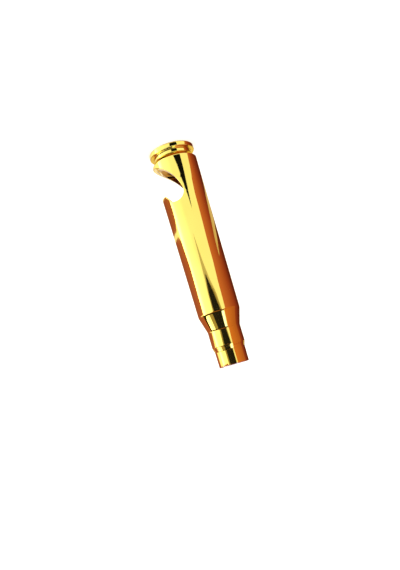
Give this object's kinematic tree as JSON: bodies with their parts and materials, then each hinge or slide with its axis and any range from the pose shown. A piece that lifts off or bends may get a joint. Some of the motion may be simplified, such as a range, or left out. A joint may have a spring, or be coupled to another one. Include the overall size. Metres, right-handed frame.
{
  "type": "bottle opener",
  "caption": "Polished brass cartridge case turned into a bottle opener by a keyhole notch with a lip and a hooked tooth, cut through its side near the head.",
  "frame": {"origin": "centre of the head face, on the case's axis; the case stands on its head at Z = 0", "axes": "+Z along the case's axis from the head to the open mouth, +X towards the notch's open side"},
  "size_m": [0.0204, 0.0204, 0.0993],
  "materials": {
    "polished_brass": "mirror polished and lacquered",
    "primer_brass": "buffed, slightly dull",
    "anvil_brass": "dull, stained by firing"
  },
  "bodies": {
    "root": {"case": "polished_brass", "primer_cup": "primer_brass", "primer_anvil": "anvil_brass"}
  },
  "joints": []
}
